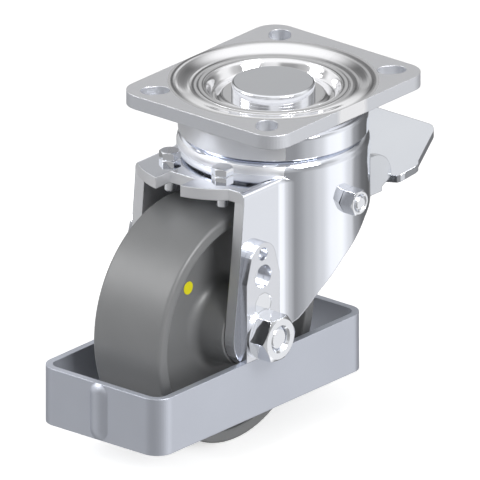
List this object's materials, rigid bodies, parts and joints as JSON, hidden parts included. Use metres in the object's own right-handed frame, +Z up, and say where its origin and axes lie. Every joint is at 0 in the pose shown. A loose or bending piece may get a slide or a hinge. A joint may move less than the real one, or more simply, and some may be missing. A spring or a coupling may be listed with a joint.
{
  "type": "swivel castor",
  "caption": "Plate mounted swivel castor with a pressed fork, a solid wheel, a foot pedal brake and a foot guard band around the wheel.",
  "frame": {"origin": "on the swivel axis, in the top face of the plate", "axes": "+Z up out of the plate along the swivel axis, +X from the swivel axis towards the brake pedal, the axle nut on the -Y side"},
  "size_m": [0.1947, 0.0907, 0.14],
  "materials": {
    "plate_steel": "satin",
    "bright_steel": "polished",
    "fork_steel": "polished",
    "race_steel": "ground",
    "guard_steel": "satin",
    "pedal_steel": "satin",
    "wheel_plastic": "satin",
    "bush_plastic": "matte",
    "marker_yellow": "matte"
  },
  "bodies": {
    "mount_head": {"top_plate": "plate_steel", "king_pin": "bright_steel", "upper_cup": "fork_steel", "upper_balls": "race_steel", "lower_balls": "race_steel", "lower_cup": "race_steel"},
    "fork_frame": {"fork": "fork_steel", "lip_screws": "bright_steel", "lip_lock_nuts": "bright_steel", "axle_bolt": "bright_steel", "axle_washers": "bright_steel", "axle_nut": "bright_steel", "axle_sleeve": "race_steel", "foot_guard": "guard_steel", "guard_strap_near": "guard_steel", "guard_strap_far": "guard_steel", "locating_pins": "bright_steel", "brake_pivot_bolt": "bright_steel", "brake_pivot_nut": "bright_steel", "brake_pivot_sleeve": "race_steel"},
    "brake": {"brake_lever": "pedal_steel"},
    "road_wheel": {"wheel": "wheel_plastic", "wheel_bushes": "bush_plastic", "marker_dot": "marker_yellow"}
  },
  "joints": [
    {"name": "swivel", "type": "hinge", "parent": "mount_head", "child": "fork_frame", "pos_m": [0, 0, 0], "axis": [0, 0, 1], "continuous": true},
    {"name": "wheel_spin", "type": "hinge", "parent": "fork_frame", "child": "road_wheel", "pos_m": [-0.0455, 0, -0.09], "axis": [0, 1, 0], "continuous": true},
    {"name": "brake_swing", "type": "hinge", "parent": "fork_frame", "child": "brake", "pos_m": [0.0005, 0, -0.0427], "axis": [0, 1, 0], "range_deg": [0, 16]}
  ]
}
